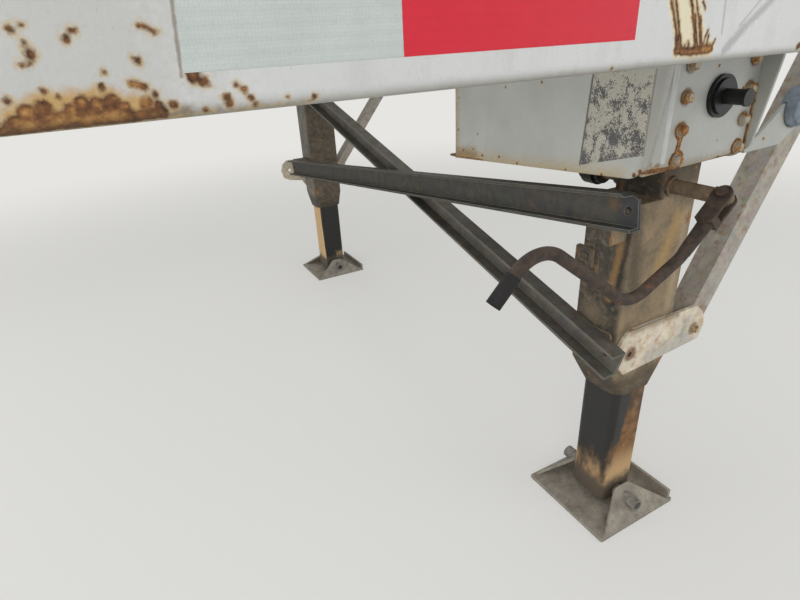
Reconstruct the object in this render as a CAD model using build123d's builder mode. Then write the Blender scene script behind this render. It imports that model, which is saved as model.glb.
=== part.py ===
from build123d import *
import os

# Landing gear of a semi trailer, with the short section of frame that carries it.
#
# Millimetres.  X runs to the trailer's rear, Y from the near (crank) side to the far side,
# Z up.  X = 0 is the plane of the two legs, Y = 0 the trailer's middle, and Z = 0 the top of
# the crossmembers, where the rest of the trailer joins on.

os.makedirs("parts", exist_ok=True)

# driving sizes
DECK = 1275.0            # top of the frame above the ground
RAIL_Y = 1219.0          # outer face of a side rail: half of a 96 inch trailer
LEG_Y = 942.0            # leg axis from the middle
RAIL_X0, RAIL_X1 = -1150.0, 650.0
RAIL_H, RAIL_T, RAIL_FLANGE = 200.0, 6.0, 46.0
BEAM_H, BEAM_W, BEAM_T = 100.0, 70.0, 6.0          # crossmember section
BEAM_STEP = 260.0
BEAM_X = [BEAM_STEP * step for step in range(-4, 3)]

INNER = 104.0            # square lower leg tube
INNER_T = 6.0
OUTER_Y = 116.0          # upper leg tube across the trailer
OUTER_T = 5.0
OUTER_TOP = 1160.0       # height of the upper tube's top
COLLAR_TOP, COLLAR_BOTTOM = 430.0, 360.0
COLLAR_R = 36.0          # corner radius of the collar's lower end
LOWER_BOTTOM = 24.0      # lower end of the lower tube
LOWER_TOP = 530.0
LOWER_CUT = (18.0, 8.0)  # its lower corners are cut off so that the foot can rock: X, height
LOWER_R = 16.0           # corner radius of the lower tube

FOOT, FOOT_T = 254.0, 8.0
PIN_H = 42.0             # foot pin above the ground
PIN_R = 15.9             # 1 1/4 inch tube
PIN_HALF = 118.0         # half the pin's length
FLAP_TOP_Y = 66.0        # the foot's sides lean in to this distance from the leg's axis
FLAP_TOP_H = 70.0
FLAP_T = 7.0
REAR_LIP = 30.0          # the foot's rear edge is folded up to this height
FIT = 0.05               # radial clearance of a running fit

SHAFT_H = 837.0          # crank shaft above the ground, in the plane of the legs
SHAFT_R = 14.0
SHAFT_IN = 158.0         # the crank shaft passes through the leg and ends this far inboard
CROSS_X, CROSS_H = 28.0, 1000.0         # cross shaft between the legs' heads
BOSS_R, BOSS_L = 20.0, 7.0
PIVOT_OUT = 165.0        # crank's fold pivot, outboard of the leg axis
ROD_R = 10.5
GRIP_R = 12.0
PIVOT_R = 6.0
# fork on the handle's end: gap and thickness of its cheeks, half width, and where its base
# starts and ends along the arm
FORK_GAP, FORK_T, FORK_HALF = 18.0, 6.0, 16.0
FORK_BASE = (42.0, 58.0)
# the tube is pressed flat at the fork and round again this far along the arm
FLAT_TO = 122.0
# bends of the folded handle in its own plane: distance behind and above the shaft's axis
ROD = ((0.0, 0.0), (-96.0, -93.0), (-215.0, -151.0), (-430.0, 12.0), (-506.0, -66.0))
BEND_R = 64.0
GRIP = ((-472.5, -31.6), (-508.5, -68.6))

BOX_X0, BOX_X1 = -150.0, 140.0
BOX_OUT, BOX_IN = 95.0, 460.0      # bolt plate and inboard end, from the leg axis
BOX_T = 6.0
BOX_TOP = DECK - BEAM_H
# outline of the box's front and rear plates: distance outboard of the leg's axis, height
BOX_PLATE = {
    "near": ((-460.0, 834.0), (82.0, 878.0), (112.0, 900.0), (134.0, 1055.0), (140.0, 1175.0),
             (-460.0, 1175.0)),
    "far": ((-460.0, 925.0), (82.0, 930.0), (112.0, 945.0), (134.0, 1055.0), (140.0, 1175.0),
            (-460.0, 1175.0)),
}
BOX_REACH = 140.0        # the box's top plate and ribs stop short of the folded crank
FLANGE_X0, FLANGE_X1 = -88.0, 126.0     # the leg's flange, which is bolted to the box
FLANGE_H = {"near": (892.0, 1080.0), "far": (938.0, 1080.0)}
# bolts of that flange, also drilled in the bolt plate: X, and heights above the ground
BOLT_X = (-64.0, 110.0)
BOLT_H = {"near": (902.0, 953.0, 1006.0, 1056.0), "far": (954.0, 988.0, 1022.0, 1056.0)}
BOLT_R = 8.0


def z(height):
    """Height above the ground as Z in the shared frame."""
    return height - DECK


def save(part, name):
    part.label = name
    export_step(part, f"parts/{name}.step")


# cross braces: where their ends stand, outboard of the leg's axis, and how high
A_NEAR, A_FAR = (106.0, 824.0), (0.0, 572.0)
B_NEAR, B_FAR = (85.0, 481.0), (30.0, 1013.0)
ANGLE_X = -103.0         # rear face of the diagonal one's web
CHANNEL_X = -141.0       # the level one passes in front of it
# lugs that the braces are bolted to: outboard of the leg's axis, height, front face
LUGS = {
    "near": ((20.0, 774.0, CHANNEL_X), (20.0, 498.0, ANGLE_X)),
    "far": ((-26.0, 576.0, CHANNEL_X), (4.0, 1006.0, ANGLE_X)),
}

# outline of the brace brackets in X and height: the far one reaches forward in an arm
BRACKET = {
    "near": ((-66.0, 536.0), (-90.0, 505.0), (-90.0, 462.0), (-64.0, 428.0), (185.0, 442.0),
             (198.0, 478.0), (186.0, 512.0), (158.0, 536.0)),
    "far": ((-40.0, 580.0), (-110.0, 594.0), (-158.0, 596.0), (-182.0, 577.0), (-190.0, 545.0),
            (-180.0, 512.0), (-152.0, 497.0), (-90.0, 488.0), (-60.0, 440.0), (110.0, 462.0),
            (146.0, 500.0), (158.0, 545.0), (140.0, 588.0)),
}
BRACKET_HOLE = {"near": (-52.0, 477.0), "far": (-148.0, 547.0)}
# drag braces: the bolt at the foot and the upper end, in X and height
DRAG = {"near": ((160.0, 477.0), (502.0, 1117.0)), "far": ((118.0, 546.0), (545.0, 1070.0))}

# where the wide part of an upper leg ends, and the front face of the head above it
HEAD_H, HEAD_X = 814.0, -22.0

# name, which way is outboard, front and rear face of the upper tube
LEGS = (
    ("near", -1, -97.0, 88.0),
    ("far", 1, -74.0, 70.0),
)

# frame section: side rails and crossmembers
for side, out, _, _ in LEGS:
    face = out * RAIL_Y
    with BuildPart() as rail:
        with BuildSketch(Plane.YZ.offset(RAIL_X0)) as section:
            web = face - out * RAIL_T / 2
            lip = face - out * RAIL_FLANGE / 2
            with Locations((web, -RAIL_H / 2)):
                Rectangle(RAIL_T, RAIL_H)
            with Locations((lip, -RAIL_T / 2), (lip, -RAIL_H + RAIL_T / 2)):
                Rectangle(RAIL_FLANGE, RAIL_T)
            # formed channel: its outer corners are rounded
            fillet(section.vertices().group_by(Axis.X)[0 if out < 0 else -1], 8)
        extrude(amount=RAIL_X1 - RAIL_X0)
    save(rail.part, f"{side}_side_rail")

for number, x in enumerate(BEAM_X, start=1):
    with BuildPart() as beam:
        with BuildSketch(Plane.XZ.offset(-(RAIL_Y - RAIL_T))):
            with Locations((x, -BEAM_H / 2)):
                Rectangle(BEAM_T, BEAM_H)
            with Locations((x, -BEAM_T / 2), (x, -BEAM_H + BEAM_T / 2)):
                Rectangle(BEAM_W, BEAM_T)
        extrude(amount=2 * (RAIL_Y - RAIL_T))
        # the ends are notched so that they seat between the rail's flanges
        for out in (-1, 1):
            with BuildSketch(Plane.XY.offset(-RAIL_T)):
                with Locations((x, out * (RAIL_Y - RAIL_FLANGE / 2))):
                    Rectangle(BEAM_W + 2, RAIL_FLANGE)
            extrude(amount=RAIL_T, mode=Mode.SUBTRACT)
    save(beam.part, f"crossmember_{number}")

for side, out, front, rear in LEGS:
    leg_y = out * LEG_Y

    def at(distance):
        """Y of a place this far outboard of the leg's axis."""
        return out * (LEG_Y + distance)

    # sheet box that carries the leg's top, open below, its front and rear plates standing
    # out past the bolt plate as ribs
    with BuildPart() as box:
        for x in (BOX_X0, BOX_X1 - BOX_T):
            with BuildSketch(Plane.YZ.offset(x)) as plate:
                with BuildLine():
                    Polyline(*[(at(reach), z(h)) for reach, h in BOX_PLATE[side]], close=True)
                make_face()
                low = plate.vertices().group_by(Axis.Y)[1:3]
                fillet([corner for pair in low for corner in pair], 22)
            extrude(amount=BOX_T)
        with BuildSketch(Plane.XY.offset(z(BOX_TOP) - BOX_T)):
            with Locations(((BOX_X0 + BOX_X1) / 2, (at(BOX_REACH) + at(-BOX_IN)) / 2)):
                Rectangle(BOX_X1 - BOX_X0, BOX_REACH + BOX_IN)
        extrude(amount=BOX_T)
        with BuildSketch(Plane.XZ.offset(-at(-BOX_IN))):
            low_end = BOX_PLATE[side][0][1]
            with Locations(((BOX_X0 + BOX_X1) / 2, (z(low_end) + z(BOX_TOP)) / 2)):
                Rectangle(BOX_X1 - BOX_X0, BOX_TOP - low_end)
            with Locations((CROSS_X, z(CROSS_H))):
                Circle(SHAFT_R + 12, mode=Mode.SUBTRACT)
        extrude(amount=-out * BOX_T)
        corners = box.edges().filter_by(Axis.Z).group_by(Axis.Y)[-1 if out < 0 else 0]
        fillet(corners.filter_by(lambda edge: edge.length > 200), 5)
    save(box.part, f"{side}_mount_box")

    # plate between the ribs that the leg's flange is bolted to
    with BuildPart() as bolt_plate:
        with BuildSketch(Plane.XZ.offset(-at(BOX_OUT))):
            with BuildLine():
                low_edge = FLANGE_H[side][0]
                Polyline(
                    (BOX_X0 + BOX_T, z(low_edge - 8)), (BOX_X1 - BOX_T, z(low_edge - 2)),
                    (BOX_X1 - BOX_T, z(BOX_TOP) - BOX_T), (BOX_X0 + BOX_T, z(BOX_TOP) - BOX_T),
                    close=True,
                )
            make_face()
            with Locations(*[(x, z(h)) for x in BOLT_X for h in BOLT_H[side]]):
                Circle(BOLT_R, mode=Mode.SUBTRACT)
        extrude(amount=-out * BOX_T)
    save(bolt_plate.part, f"{side}_bolt_plate")

    # gusset that runs back from the bolt plate's lower corner up to the frame
    with BuildPart() as gusset:
        with BuildSketch(Plane.XZ.offset(-at(BOX_OUT))):
            with BuildLine():
                Polyline(
                    (BOX_X1, z(low_edge - 6)), (BOX_X1 + 117, z(low_edge - 4)),
                    (BEAM_X[-1] + 35, z(BOX_TOP) - 95), (BEAM_X[-1] + 35, z(BOX_TOP)),
                    (BEAM_X[-1] + 13, z(BOX_TOP)), (BOX_X1 + 34, z(low_edge + 23)),
                    (BOX_X1, z(low_edge + 8)), close=True,
                )
            make_face()
        extrude(amount=-out * BOX_T)
    save(gusset.part, f"{side}_rear_gusset")

    # upper leg: rectangular tube with a narrower head for the gears, and a rounded collar
    # that guides the lower tube
    middle = ((front + rear) / 2, leg_y)
    head_front = HEAD_X if side == "near" else front
    head_middle = ((head_front + rear) / 2, leg_y)
    with BuildPart() as upper:
        with BuildSketch(Plane.XY.offset(z(COLLAR_TOP))):
            with Locations(middle):
                RectangleRounded(rear - front, OUTER_Y, 10)
        extrude(amount=HEAD_H - COLLAR_TOP)
        with BuildSketch(Plane.XY.offset(z(HEAD_H) - 1)):
            with Locations(head_middle):
                RectangleRounded(rear - head_front, OUTER_Y, 10)
        extrude(amount=OUTER_TOP - HEAD_H + 1)
        with BuildSketch(Plane.XY.offset(z(COLLAR_TOP))):
            with Locations(middle):
                RectangleRounded(rear - front - 2 * OUTER_T, OUTER_Y - 2 * OUTER_T, 6)
        extrude(amount=HEAD_H - OUTER_T - COLLAR_TOP, mode=Mode.SUBTRACT)
        with BuildSketch(Plane.XY.offset(z(HEAD_H) - OUTER_T - 1)):
            with Locations(head_middle):
                RectangleRounded(rear - head_front - 2 * OUTER_T, OUTER_Y - 2 * OUTER_T, 6)
        extrude(amount=OUTER_TOP - HEAD_H + OUTER_T + 2, mode=Mode.SUBTRACT)
        with BuildSketch(Plane.XY.offset(z(COLLAR_TOP))):
            with Locations(middle):
                RectangleRounded(rear - front, OUTER_Y, 10)
        with BuildSketch(Plane.XY.offset(z(COLLAR_BOTTOM))):
            with Locations((0, leg_y)):
                RectangleRounded(INNER + 22, INNER + 16, COLLAR_R)
        loft()
        with BuildSketch(Plane.XY.offset(z(COLLAR_BOTTOM) - 1)):
            with Locations((0, leg_y)):
                RectangleRounded(INNER + 4, INNER + 4, LOWER_R + 2)
        extrude(amount=COLLAR_TOP - COLLAR_BOTTOM + 2, mode=Mode.SUBTRACT)
        # bearing bosses: the cross shaft inboard, and the crank shaft through the near leg
        bearings = [(CROSS_X, CROSS_H, -1)]
        if side == "near":
            bearings += [(0, SHAFT_H, -1), (0, SHAFT_H, 1)]
        for x, h, outward in bearings:
            wall = at(outward * OUTER_Y / 2)
            way = out * outward
            with BuildSketch(Plane.XZ.offset(-wall + way)):
                with Locations((x, z(h))):
                    Circle(BOSS_R)
            extrude(amount=-way * (BOSS_L + 1))
            with BuildSketch(Plane.XZ.offset(-wall - way * (BOSS_L + 1))):
                with Locations((x, z(h))):
                    Circle(SHAFT_R + FIT)
            extrude(amount=way * (BOSS_L + OUTER_T + 4), mode=Mode.SUBTRACT)
        # bolted flange on two webs, under the frame's box
        for x, width, inner, outer in (
            ((FLANGE_X0 + FLANGE_X1) / 2, FLANGE_X1 - FLANGE_X0, BOX_OUT - 6, BOX_OUT),
            (head_front + 14, 8, OUTER_Y / 2 - 1, BOX_OUT),
            (rear - 14, 8, OUTER_Y / 2 - 1, BOX_OUT),
        ):
            with BuildSketch(Plane.XZ.offset(-at(inner))):
                with Locations((x, z(sum(FLANGE_H[side]) / 2))):
                    Rectangle(width, FLANGE_H[side][1] - FLANGE_H[side][0])
            extrude(amount=-out * (outer - inner))
        with BuildSketch(Plane.XZ.offset(-at(OUTER_Y / 2 + 12))):
            with Locations(*[(x, z(h)) for x in BOLT_X for h in BOLT_H[side]]):
                Circle(BOLT_R)
        extrude(amount=-out * 40, mode=Mode.SUBTRACT)
        # lugs on the front wall that the cross braces are bolted to
        for lug_y, lug_h, lug_x in LUGS[side]:
            with BuildSketch(Plane.YZ.offset(lug_x)):
                with Locations((at(lug_y), z(lug_h))):
                    RectangleRounded(60, 70, 8)
            extrude(amount=front - lug_x + 1)
    save(upper.part, f"{side}_upper_leg")

    # lower leg: square tube, its lower corners cut off, with the foot pin's bore
    with BuildPart() as lower:
        with BuildSketch(Plane.XY.offset(z(LOWER_BOTTOM))):
            with Locations((0, leg_y)):
                RectangleRounded(INNER, INNER, LOWER_R)
                hollow = INNER - 2 * INNER_T
                RectangleRounded(hollow, hollow, LOWER_R - INNER_T, mode=Mode.SUBTRACT)
        extrude(amount=LOWER_TOP - LOWER_BOTTOM)
        with BuildSketch(Plane.XZ.offset(-leg_y - INNER)):
            with Locations((0, z(PIN_H))):
                Circle(PIN_R)
            for end in (-1, 1):
                with BuildLine():
                    Polyline(
                        (end * INNER / 2, z(LOWER_BOTTOM + LOWER_CUT[1])),
                        (end * (INNER / 2 - LOWER_CUT[0]), z(LOWER_BOTTOM)),
                        (end * INNER / 2, z(LOWER_BOTTOM)), close=True,
                    )
                make_face()
        extrude(amount=2 * INNER, mode=Mode.SUBTRACT)
    save(lower.part, f"{side}_lower_leg")

    # foot: pressed square plate, its two sides folded up and leaning in to carry the pin
    with BuildPart() as foot:
        with BuildSketch(Plane.XY.offset(z(0))):
            with Locations((0, leg_y)):
                RectangleRounded(FOOT, FOOT, 4)
        extrude(amount=FOOT_T)
        for way in (-1, 1):
            fold = Vector(0, leg_y + way * FOOT / 2, z(FOOT_T) - 1)
            lean = Vector(0, -way * (FOOT / 2 - FLAP_TOP_Y), FLAP_TOP_H - FOOT_T + 1)
            flap = Plane(origin=fold, x_dir=(1, 0, 0), z_dir=Vector(1, 0, 0).cross(lean))
            with BuildSketch(flap) as side_plate:
                with BuildLine():
                    half = FOOT / 2 - 10
                    Polyline((-half, 0), (half, 0), (22, lean.length), (-22, lean.length),
                             close=True)
                make_face()
                fillet(side_plate.vertices().group_by(Axis.Y)[-1], 16)
            extrude(amount=way * FLAP_T)
        with BuildSketch(Plane.YZ.offset(FOOT / 2 - FOOT_T)):
            with Locations((leg_y, z(REAR_LIP / 2))):
                Rectangle(FOOT - 16, REAR_LIP)
        extrude(amount=FOOT_T)
        with BuildSketch(Plane.XZ.offset(-leg_y - FOOT)):
            with Locations((0, z(PIN_H))):
                Circle(PIN_R + FIT)
        extrude(amount=2 * FOOT, mode=Mode.SUBTRACT)
    save(foot.part, f"{side}_foot")

    with BuildPart() as pin:
        with BuildSketch(Plane.XZ.offset(-leg_y - PIN_HALF)):
            with Locations((0, z(PIN_H))):
                Circle(PIN_R)
                Circle(PIN_R - 5, mode=Mode.SUBTRACT)
        extrude(amount=2 * PIN_HALF)
    save(pin.part, f"{side}_foot_pin")

    # flat bracket on the leg's outboard face, which takes the drag brace's lower end
    with BuildPart() as bracket:
        with BuildSketch(Plane.XZ.offset(-at(OUTER_Y / 2))) as outline:
            with BuildLine():
                Polyline(*[(x, z(h)) for x, h in BRACKET[side]], close=True)
            make_face()
            fillet(outline.vertices(), 9)
            with Locations(*[(x, z(h)) for x, h in (BRACKET_HOLE[side], DRAG[side][0])]):
                Circle(7, mode=Mode.SUBTRACT)
        extrude(amount=-out * 8)
    save(bracket.part, f"{side}_brace_bracket")

    # drag brace: steel angle from the bracket up and back to a hanger under the rear beam
    foot_point, head_point = DRAG[side]
    run = Vector(head_point[0] - foot_point[0], 0, head_point[1] - foot_point[1])
    with BuildPart() as brace:
        plane = Plane(
            origin=(foot_point[0], at(OUTER_Y / 2), z(foot_point[1])),
            x_dir=(0, -out, 0), z_dir=run.normalized(),
        )
        with BuildSketch(plane.offset(-24)):
            with Locations((3, 0)):
                Rectangle(6, 60)
            with Locations((27, -27 * out)):
                Rectangle(54, 6)
        extrude(amount=run.length + 48)
    save(brace.part, f"{side}_drag_brace")

    with BuildPart() as hanger:
        with BuildSketch(Plane.XZ.offset(-at(OUTER_Y / 2))):
            low = head_point[1] - 32
            with Locations(((BEAM_X[-1] + head_point[0]) / 2, (z(low) + z(BOX_TOP)) / 2)):
                RectangleRounded(86, BOX_TOP - low, 4)
        extrude(amount=-out * 8)
    save(hanger.part, f"{side}_brace_hanger")

# cross bracing between the legs


def brace_frame(near_end, far_end, x, x_way):
    """Plane at a cross brace's near end, its normal along the brace, and the length."""
    start = Vector(x, -LEG_Y - near_end[0], z(near_end[1]))
    run = Vector(x, LEG_Y + far_end[0], z(far_end[1])) - start
    return Plane(origin=start, x_dir=(x_way, 0, 0), z_dir=run.normalized()), run.length


# both braces are channels with their flanges forward: name, ends, rear face of the web,
# height and depth of the section, bolt hole from the near end, near lower corner cut off
for name, near_end, far_end, x, high, deep, first_hole, cut in (
    ("cross_brace_channel", A_NEAR, A_FAR, CHANNEL_X, 68, 28, 22, True),
    ("cross_brace_angle", B_NEAR, B_FAR, ANGLE_X, 66, 37, 38, False),
):
    plane, length = brace_frame(near_end, far_end, x, -1)
    with BuildPart() as channel:
        with BuildSketch(plane):
            with Locations((3, 0)):
                Rectangle(6, high)
            with Locations((deep / 2, high / 2 - 3), (deep / 2, 3 - high / 2)):
                Rectangle(deep, 6)
        extrude(amount=length)
        for distance in (first_hole, length - 22):
            hole = Plane(origin=plane.origin + plane.z_dir * distance, z_dir=(-1, 0, 0))
            with BuildSketch(hole.offset(-2)):
                Circle(8)
            extrude(amount=10, mode=Mode.SUBTRACT)
        if cut:
            corner = Plane(origin=plane.origin, x_dir=plane.z_dir, z_dir=(-1, 0, 0))
            with BuildSketch(corner.offset(-1)):
                with BuildLine():
                    Polyline((-1, -35), (24, -35), (-1, -21), close=True)
                make_face()
            extrude(amount=30, mode=Mode.SUBTRACT)
    save(channel.part, name)

# cross shaft, which turns with the crank
shaft_end = LEG_Y - OUTER_Y / 2 + 1
with BuildPart() as shaft:
    with BuildSketch(Plane.XZ.offset(shaft_end)):
        with Locations((CROSS_X, z(CROSS_H))):
            Circle(SHAFT_R)
    extrude(amount=-2 * shaft_end)
save(shaft.part, "cross_shaft")

# sleeve that joins the cross shaft to the near leg's gears
with BuildPart() as coupling:
    with BuildSketch(Plane.XZ.offset(LEG_Y - 96)):
        with Locations((CROSS_X, z(CROSS_H))):
            Circle(22)
            Circle(SHAFT_R, mode=Mode.SUBTRACT)
    extrude(amount=-84)
save(coupling.part, "cross_shaft_coupling")

# black cap on the inboard end of the crank's shaft
with BuildPart() as cap:
    for radius, start, reach in ((26, 104, 12), (31, 116, 30), (24, 146, SHAFT_IN - 146)):
        with BuildSketch(Plane.XZ.offset(LEG_Y - start)):
            with Locations((0, z(SHAFT_H))):
                Circle(radius)
                Circle(SHAFT_R, mode=Mode.SUBTRACT)
        extrude(amount=-reach)
save(cap.part, "crank_shaft_cap")

# black flanged stub on the near bolt plate
with BuildPart() as stub_cap:
    face_y = LEG_Y + BOX_OUT + BOX_T
    for radius, start, reach in ((36, 0, 7), (30, 7, 5), (13, 12, 34), (14.5, 46, 6)):
        with BuildSketch(Plane.XZ.offset(face_y + start)):
            with Locations((CROSS_X, z(CROSS_H))):
                Circle(radius)
        extrude(amount=reach)
save(stub_cap.part, "near_flanged_stub")

PIVOT_Y = -LEG_Y - PIVOT_OUT
# the folded arm's direction in the X-Z plane, and the pivot pin's axis square to it
arm_way = Vector(ROD[1][0], 0, ROD[1][1]).normalized()
pin_axis = Vector(-arm_way.Z, 0, arm_way.X)
pivot = Vector(0, PIVOT_Y, z(SHAFT_H))
NECK = 20.0              # the shaft is round up to here and flattened from here to the pin

with BuildPart() as stub:
    with BuildSketch(Plane.XZ.offset(-PIVOT_Y - NECK)):
        with Locations((0, z(SHAFT_H))):
            Circle(SHAFT_R)
    extrude(amount=-(PIVOT_OUT - NECK + SHAFT_IN))
    # flat tongue that the pin passes through
    tongue = FORK_GAP - 2
    with BuildSketch(Plane(origin=pivot - pin_axis * (tongue / 2), x_dir=(0, 1, 0),
                           z_dir=pin_axis)):
        Circle(SHAFT_R)
        with Locations((NECK / 2 + 1, 0)):
            Rectangle(NECK + 2, 2 * SHAFT_R)
        Circle(PIVOT_R, mode=Mode.SUBTRACT)
    extrude(amount=tongue)
save(stub.part, "crank_shaft")

with BuildPart() as pivot_pin:
    for radius, start, reach in ((PIVOT_R, -18, 41), (10, -22, 6), (9, 16, 4)):
        with BuildSketch(Plane(origin=pivot + pin_axis * start, z_dir=pin_axis)):
            Circle(radius)
        extrude(amount=reach)
save(pivot_pin.part, "crank_pivot_pin")

with BuildPart() as handle:
    # fork: two cheeks and the base between them
    for way in (-1, 1):
        cheek = Plane(origin=pivot + pin_axis * (way * FORK_GAP / 2), x_dir=(0, 1, 0),
                      z_dir=pin_axis * way)
        along = arm_way.dot(cheek.y_dir)
        with BuildSketch(cheek):
            Circle(FORK_HALF)
            with Locations((0, along * FORK_BASE[1] / 2)):
                Rectangle(2 * FORK_HALF, FORK_BASE[1])
            Circle(PIVOT_R + FIT, mode=Mode.SUBTRACT)
        extrude(amount=FORK_T)
    arm = Plane(origin=pivot, x_dir=(0, 1, 0), z_dir=arm_way)
    with BuildSketch(arm.offset(FORK_BASE[0])):
        Rectangle(2 * FORK_HALF, FORK_GAP + 2)
    extrude(amount=FORK_BASE[1] - FORK_BASE[0])
    with BuildSketch(arm.offset(FORK_BASE[1] - 6)):
        Ellipse(15, 9)
    with BuildSketch(arm.offset(FLAT_TO)):
        Circle(ROD_R + 0.7)
    loft()
    with BuildLine() as route:
        start = pivot + arm_way * (FLAT_TO - 10)
        bends = [(x, PIVOT_Y, z(SHAFT_H + h)) for x, h in ROD[1:]]
        FilletPolyline((start.X, start.Y, start.Z), *bends, radius=BEND_R)
    with BuildSketch(Plane(origin=route.line @ 0, z_dir=route.line % 0)):
        Circle(ROD_R)
    sweep()
save(handle.part, "crank_handle")

grip_start = Vector(GRIP[0][0], PIVOT_Y, z(SHAFT_H + GRIP[0][1]))
grip_end = Vector(GRIP[1][0], PIVOT_Y, z(SHAFT_H + GRIP[1][1]))
with BuildPart() as grip:
    with BuildSketch(Plane(origin=grip_start, z_dir=(grip_end - grip_start).normalized())):
        Circle(GRIP_R)
        Circle(ROD_R + 0.5, mode=Mode.SUBTRACT)
    extrude(amount=(grip_end - grip_start).length)
save(grip.part, "crank_grip")
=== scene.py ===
"""Finishes and small fittings of a semi trailer's landing gear with its section of frame.

Metres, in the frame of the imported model: X to the trailer's rear, Y from the near (crank)
side to the far side, Z up from the top of the crossmembers.
"""
import math
from functools import partial

import bmesh
import bpy
from mathutils import Matrix, Vector


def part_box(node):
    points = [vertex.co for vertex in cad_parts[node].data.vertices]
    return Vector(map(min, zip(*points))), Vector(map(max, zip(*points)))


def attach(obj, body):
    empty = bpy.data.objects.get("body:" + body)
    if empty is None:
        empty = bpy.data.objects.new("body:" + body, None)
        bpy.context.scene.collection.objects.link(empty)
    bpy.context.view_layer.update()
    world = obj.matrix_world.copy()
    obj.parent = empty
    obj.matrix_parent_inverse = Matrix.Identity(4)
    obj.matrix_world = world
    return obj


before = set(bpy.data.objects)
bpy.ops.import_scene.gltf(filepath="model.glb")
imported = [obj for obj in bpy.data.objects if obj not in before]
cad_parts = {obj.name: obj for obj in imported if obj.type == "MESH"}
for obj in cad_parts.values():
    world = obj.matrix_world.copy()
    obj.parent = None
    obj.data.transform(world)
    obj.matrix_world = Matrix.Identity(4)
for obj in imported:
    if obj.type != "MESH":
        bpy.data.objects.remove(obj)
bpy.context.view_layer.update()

bl_info = {
    "name": "Trailer landing gear",
    "version": (1, 0, 0),
    "blender": (4, 5, 0),
    "location": "3D View > Sidebar > Landing gear",
    "description": "Dresses a trailer's landing gear with its finishes and small fittings",
    "category": "Object",
}

# places read from the frame
NEAR_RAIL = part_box("near_side_rail")
NEAR_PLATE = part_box("near_bolt_plate")
NEAR_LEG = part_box("near_lower_leg")
NEAR_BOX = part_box("near_mount_box")
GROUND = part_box("near_foot")[0][2]
RAIL_FACE = NEAR_RAIL[0][1]
RAIL_BOTTOM = NEAR_RAIL[0][2]
LEG_Y = -(NEAR_LEG[0][1] + NEAR_LEG[1][1]) / 2

# half the width of an upper leg, in metres
LEG_HALF = 0.058
# bolts of the plates and tube end on the wing plate: X and height, in millimetres
BOLT_COLUMNS = (-64, 110)
NEAR_BOLT_ROWS = (902, 953, 1006, 1056)
TUBE_END = (285, 958)

SMOOTH_ANGLE = math.radians(32)
# turns a cylinder's axis from Z to -Y
ALONG_Y = (math.radians(90), 0, 0)
# millimetres and pixels across the picture
SENSOR_WIDTH = 36.0
PICTURE_WIDTH = 800


def height(millimetres):
    """Height above the ground, in millimetres, as Z in the frame."""
    return GROUND + millimetres / 1000


class GearSizes(bpy.types.PropertyGroup):
    """Sizes of the fittings and places of the camera."""

    tape_start: bpy.props.FloatProperty(
        name="Tape start", description="X of the front end of the white tape",
        default=-0.8767, unit="LENGTH")
    tape_white: bpy.props.FloatProperty(
        name="White tape", description="Length of the white piece of tape",
        default=0.1778, unit="LENGTH")
    tape_red: bpy.props.FloatProperty(
        name="Red tape", description="Length of the red piece of tape",
        default=0.2794, unit="LENGTH")
    tape_width: bpy.props.FloatProperty(
        name="Tape width", description="Height of the tape on the rail",
        default=0.0508, unit="LENGTH")
    tape_rise: bpy.props.FloatProperty(
        name="Tape rise", description="Tape's lower edge above the rail's lower edge",
        default=0.030, unit="LENGTH")
    bolt_flats: bpy.props.FloatProperty(
        name="Bolt flats", description="Width of a bolt head across its flats",
        default=0.017, unit="LENGTH")
    camera_place: bpy.props.FloatVectorProperty(
        name="Camera place", description="Where the camera stands",
        default=(-0.93829, -1.64887, GROUND + 1.12017), subtype="TRANSLATION", unit="LENGTH")
    camera_azimuth: bpy.props.FloatProperty(
        name="Camera azimuth", description="Turn of the view, 0 looks along +Y",
        default=math.radians(-27.41), subtype="ANGLE")
    camera_tilt: bpy.props.FloatProperty(
        name="Camera tilt", description="How far the view looks down",
        default=math.radians(26.18), subtype="ANGLE")
    camera_roll: bpy.props.FloatProperty(
        name="Camera roll", description="Turn of the camera about its own axis",
        default=math.radians(-3.20), subtype="ANGLE")
    camera_focus: bpy.props.FloatProperty(
        name="Focal length", description="Focal length in pixels of an 800 pixel wide picture",
        default=534.16)


class GearColours(bpy.types.PropertyGroup):
    """Colours of the finishes, as sRGB hex values."""

    enamel: bpy.props.StringProperty(
        name="Enamel", description="White paint of the frame", default="#dcdddb")
    enamel_grime: bpy.props.StringProperty(
        name="Grime", description="Road dirt on the white paint", default="#a9a69b")
    rust_pale: bpy.props.StringProperty(
        name="Pale rust", description="Ochre scale of rust", default="#c39a61")
    rust: bpy.props.StringProperty(
        name="Rust", description="Brown rust", default="#7d5433")
    rust_dark: bpy.props.StringProperty(
        name="Dark rust", description="Old rust in the pits", default="#452d1e")
    rust_halo: bpy.props.StringProperty(
        name="Rust stain", description="Yellow stain that runs out of a rust spot",
        default="#bd9450")
    zinc: bpy.props.StringProperty(
        name="Zinc", description="Weathered zinc of the drag braces", default="#98928a")
    leg_paint: bpy.props.StringProperty(
        name="Leg paint", description="Weathered paint of the near upper leg",
        default="#9f8a6c")
    grease: bpy.props.StringProperty(
        name="Grease", description="Old grease on the lower legs", default="#2b2a28")
    tape_red: bpy.props.StringProperty(
        name="Red tape", description="Red retroreflective film", default="#dc3040")
    tape_white: bpy.props.StringProperty(
        name="White tape", description="White retroreflective film", default="#ccd3cf")
    floor: bpy.props.StringProperty(
        name="Floor", description="Plain pale floor", default="#e6e5e1")


def linear(hex_text):
    """An sRGB hex value as the linear RGBA that Blender's sockets hold."""
    channels = [int(hex_text[i:i + 2], 16) / 255 for i in (1, 3, 5)]
    return tuple(
        c / 12.92 if c <= 0.04045 else ((c + 0.055) / 1.055) ** 2.4 for c in channels
    ) + (1.0,)


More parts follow.
